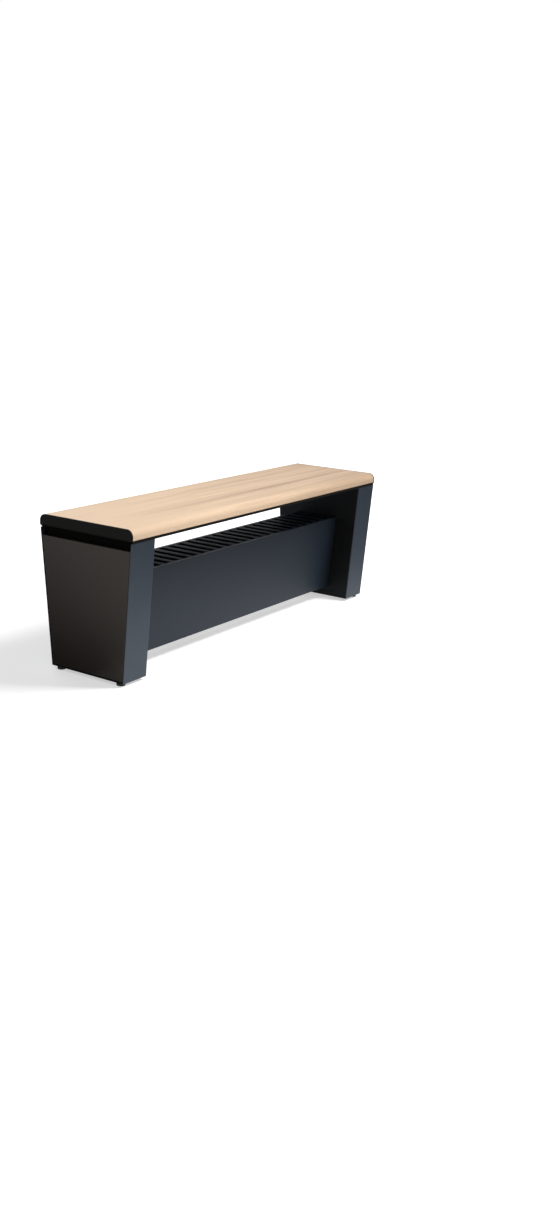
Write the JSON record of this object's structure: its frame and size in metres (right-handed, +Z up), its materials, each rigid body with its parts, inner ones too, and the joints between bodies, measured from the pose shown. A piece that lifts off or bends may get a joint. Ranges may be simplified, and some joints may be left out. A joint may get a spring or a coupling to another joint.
{
  "type": "heated bench",
  "caption": "Wooden bench on tapered dark steel legs, with a slotted-top convector casing slung between them to warm the seat.",
  "frame": {"origin": "on the floor under the middle of the seat", "axes": "+X along the seat away from the service leg, -Y to the front, +Z up"},
  "size_m": [1.3, 0.35, 0.46],
  "materials": {
    "oak": "light oak, oiled, satin",
    "seat_black": "black satin powder coat",
    "body_paint": "blue-black semi-gloss powder coat",
    "panel_paint": "warm black-brown satin powder coat",
    "zinc_steel": "zinc plated",
    "fin_aluminium": "mill finish",
    "copper": "drawn copper",
    "valve_brass": "machined",
    "black_rubber": "matt",
    "white_plastic": "moulded",
    "ring_plastic": "moulded"
  },
  "bodies": {
    "bench": {"seat_board_front": "oak", "seat_board_rear": "oak", "seat_plate": "seat_black", "leg_head_left": "seat_black", "leg_head_right": "seat_black", "leg_base_left": "seat_black", "leg_base_right": "seat_black", "leg_shell_left": "body_paint", "leg_shell_right": "body_paint", "casing_front": "body_paint", "casing_rear": "body_paint", "seat_board_screws": "zinc_steel", "seat_bolts": "zinc_steel", "seat_inserts": "zinc_steel", "foot_nuts": "zinc_steel", "casing_bolts": "zinc_steel", "casing_nuts": "zinc_steel", "exchanger_end_plates": "zinc_steel", "exchanger_cradles": "zinc_steel", "cradle_rivets": "zinc_steel", "exchanger_fins": "fin_aluminium", "exchanger_tube_front": "copper", "exchanger_tube_rear": "copper", "supply_header": "valve_brass", "return_header": "valve_brass", "supply_nipple": "valve_brass", "return_nipple": "valve_brass", "vent_body": "valve_brass", "supply_valve_body": "valve_brass", "return_valve_body": "valve_brass", "panel_buffers": "black_rubber", "return_cap": "white_plastic", "thermostat_ring": "ring_plastic"},
    "end_panel_left": {"end_panel_left": "panel_paint", "panel_hooks_left": "zinc_steel"},
    "end_panel_right": {"end_panel_right": "panel_paint", "panel_hooks_right": "zinc_steel"},
    "grille": {"grille_frame": "body_paint", "grille_slats": "body_paint"},
    "thermostat_head": {"thermostat_head": "white_plastic"},
    "supply_valve_pin": {"supply_valve_pin": "zinc_steel"},
    "return_spindle": {"return_spindle": "zinc_steel"},
    "vent_screw": {"vent_screw": "valve_brass"},
    "foot_pad_front_left": {"foot_pad_front_left": "black_rubber"},
    "foot_stud_front_left": {"foot_stud_front_left": "zinc_steel"},
    "foot_pad_rear_left": {"foot_pad_rear_left": "black_rubber"},
    "foot_stud_rear_left": {"foot_stud_rear_left": "zinc_steel"},
    "foot_pad_front_right": {"foot_pad_front_right": "black_rubber"},
    "foot_stud_front_right": {"foot_stud_front_right": "zinc_steel"},
    "foot_pad_rear_right": {"foot_pad_rear_right": "black_rubber"},
    "foot_stud_rear_right": {"foot_stud_rear_right": "zinc_steel"}
  },
  "joints": [
    {"name": "panel_lift_left", "type": "slide", "parent": "bench", "child": "end_panel_left", "axis": [0, 0, 1], "range_m": [0, 0.014]},
    {"name": "panel_lift_right", "type": "slide", "parent": "bench", "child": "end_panel_right", "axis": [0, 0, 1], "range_m": [0, 0.014]},
    {"name": "grille_lift", "type": "slide", "parent": "bench", "child": "grille", "axis": [0, 0, 1], "range_m": [0, 0.09]},
    {"name": "thermostat_turn", "type": "hinge", "parent": "bench", "child": "thermostat_head", "pos_m": [-0.6, 0.086, 0.23], "axis": [0, 0, 1], "range_deg": [0, 290]},
    {"name": "valve_pin_slide", "type": "slide", "parent": "bench", "child": "supply_valve_pin", "axis": [0, 0, 1], "range_m": [0, 0.0025]},
    {"name": "return_spindle_turn", "type": "hinge", "parent": "bench", "child": "return_spindle", "pos_m": [-0.6, -0.086, 0.125], "axis": [0, 0, 1], "range_deg": [0, 1080]},
    {"name": "vent_screw_turn", "type": "hinge", "parent": "bench", "child": "vent_screw", "pos_m": [-0.6, -0.026, 0.18], "axis": [0, 0, 1], "range_deg": [0, 540]},
    {"name": "foot_slide_front_left", "type": "slide", "parent": "bench", "child": "foot_pad_front_left", "axis": [0, 0, -1], "range_m": [0, 0.015]},
    {"name": "foot_turn_front_left", "type": "hinge", "parent": "foot_pad_front_left", "child": "foot_stud_front_left", "pos_m": [-0.634, -0.116, 0.02], "axis": [0, 0, -1], "range_deg": [0, 3600]},
    {"name": "foot_slide_rear_left", "type": "slide", "parent": "bench", "child": "foot_pad_rear_left", "axis": [0, 0, -1], "range_m": [0, 0.015]},
    {"name": "foot_turn_rear_left", "type": "hinge", "parent": "foot_pad_rear_left", "child": "foot_stud_rear_left", "pos_m": [-0.634, 0.116, 0.02], "axis": [0, 0, -1], "range_deg": [0, 3600]},
    {"name": "foot_slide_front_right", "type": "slide", "parent": "bench", "child": "foot_pad_front_right", "axis": [0, 0, -1], "range_m": [0, 0.015]},
    {"name": "foot_turn_front_right", "type": "hinge", "parent": "foot_pad_front_right", "child": "foot_stud_front_right", "pos_m": [0.634, -0.116, 0.02], "axis": [0, 0, -1], "range_deg": [0, 3600]},
    {"name": "foot_slide_rear_right", "type": "slide", "parent": "bench", "child": "foot_pad_rear_right", "axis": [0, 0, -1], "range_m": [0, 0.015]},
    {"name": "foot_turn_rear_right", "type": "hinge", "parent": "foot_pad_rear_right", "child": "foot_stud_rear_right", "pos_m": [0.634, 0.116, 0.02], "axis": [0, 0, -1], "range_deg": [0, 3600]}
  ],
  "couplings": [
    {"joint": "valve_pin_slide", "follows": "thermostat_turn", "m_per_rad": 0.00049393},
    {"joint": "foot_turn_front_left", "follows": "foot_slide_front_left", "rad_per_m": 4188.8},
    {"joint": "foot_turn_rear_left", "follows": "foot_slide_rear_left", "rad_per_m": 4188.8},
    {"joint": "foot_turn_front_right", "follows": "foot_slide_front_right", "rad_per_m": 4188.8},
    {"joint": "foot_turn_rear_right", "follows": "foot_slide_rear_right", "rad_per_m": 4188.8}
  ]
}
